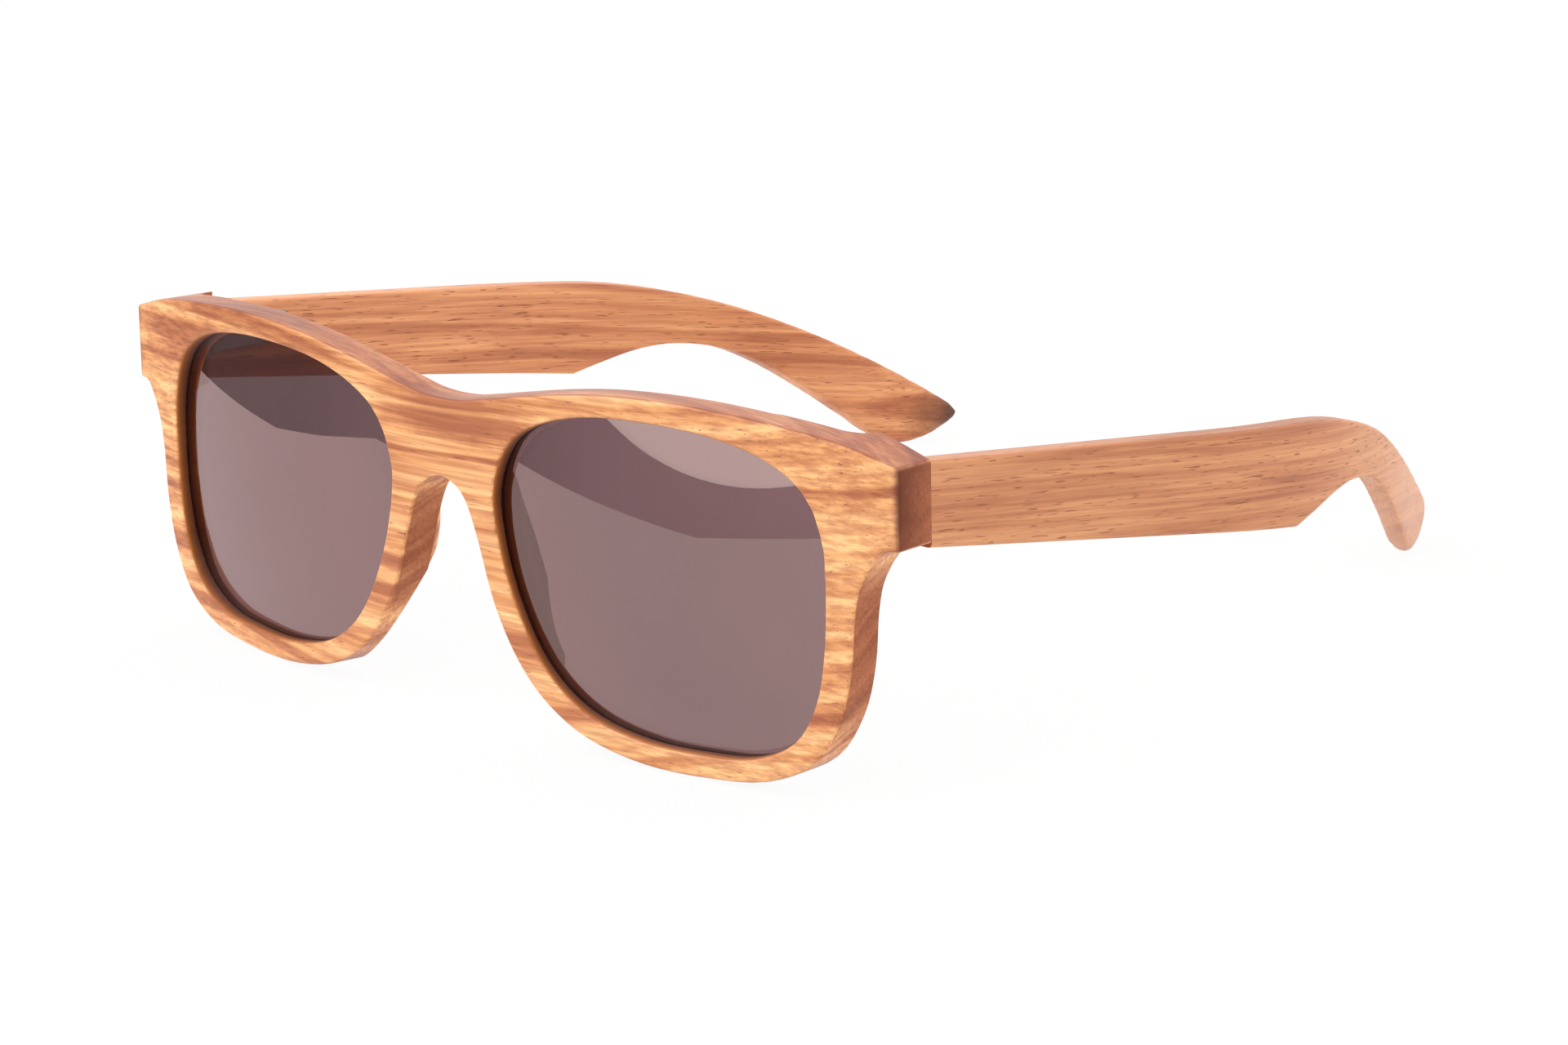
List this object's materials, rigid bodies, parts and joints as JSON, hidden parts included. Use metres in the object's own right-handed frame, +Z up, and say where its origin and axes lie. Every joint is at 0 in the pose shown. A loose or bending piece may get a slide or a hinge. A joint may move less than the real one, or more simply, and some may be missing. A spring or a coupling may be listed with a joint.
{
  "type": "wooden sunglasses",
  "caption": "Wooden sunglasses: a bent wooden front with tinted lenses in grooves, carved nose pads, and folding paddle temples on sprung metal hinges.",
  "frame": {"origin": "middle of the bounding box, on the surface that the rims and the temple tips stand on", "axes": "+Z up, -Y the way the wearer looks, +X to the wearer's left"},
  "size_m": [0.145, 0.136, 0.0457],
  "materials": {
    "wood": "satin oiled",
    "lens_tint": "polished",
    "hinge_steel": "satin",
    "screw_steel": "polished",
    "spring_steel": "bright"
  },
  "bodies": {
    "front": {"frame_front": "wood", "lens_left": "lens_tint", "lens_right": "lens_tint", "hinge_leaf_left": "hinge_steel", "hinge_leaf_right": "hinge_steel", "leaf_screws_left": "screw_steel", "leaf_screws_right": "screw_steel", "pivot_screw_left": "screw_steel", "pivot_screw_right": "screw_steel"},
    "slider_left": {"hinge_slider_left": "hinge_steel", "slider_nut_left": "hinge_steel"},
    "slider_right": {"hinge_slider_right": "hinge_steel", "slider_nut_right": "hinge_steel"},
    "temple_left": {"temple_left": "wood", "spring_housing_left": "hinge_steel", "stop_collar_left": "hinge_steel", "housing_screws_left": "screw_steel", "hinge_spring_left": "spring_steel"},
    "temple_right": {"temple_right": "wood", "spring_housing_right": "hinge_steel", "stop_collar_right": "hinge_steel", "housing_screws_right": "screw_steel", "hinge_spring_right": "spring_steel"}
  },
  "joints": [
    {"name": "fold_left", "type": "hinge", "parent": "front", "child": "slider_left", "pos_m": [0.06672, -0.05155, 0.03588], "axis": [0, 0.0443, 0.999], "range_deg": [0, 81]},
    {"name": "fold_right", "type": "hinge", "parent": "front", "child": "slider_right", "pos_m": [-0.06672, -0.05155, 0.03588], "axis": [0, -0.0443, -0.999], "range_deg": [0, 75]},
    {"name": "spring_left", "type": "slide", "parent": "slider_left", "child": "temple_left", "axis": [0, 0.999, -0.0443], "range_m": [0, 0.0015], "stiffness_N_per_m": 1500, "springref_m": -0.001, "deforming": ["hinge_spring_left"]},
    {"name": "spring_right", "type": "slide", "parent": "slider_right", "child": "temple_right", "axis": [0, 0.999, -0.0443], "range_m": [0, 0.0015], "stiffness_N_per_m": 1500, "springref_m": -0.001, "deforming": ["hinge_spring_right"]}
  ]
}
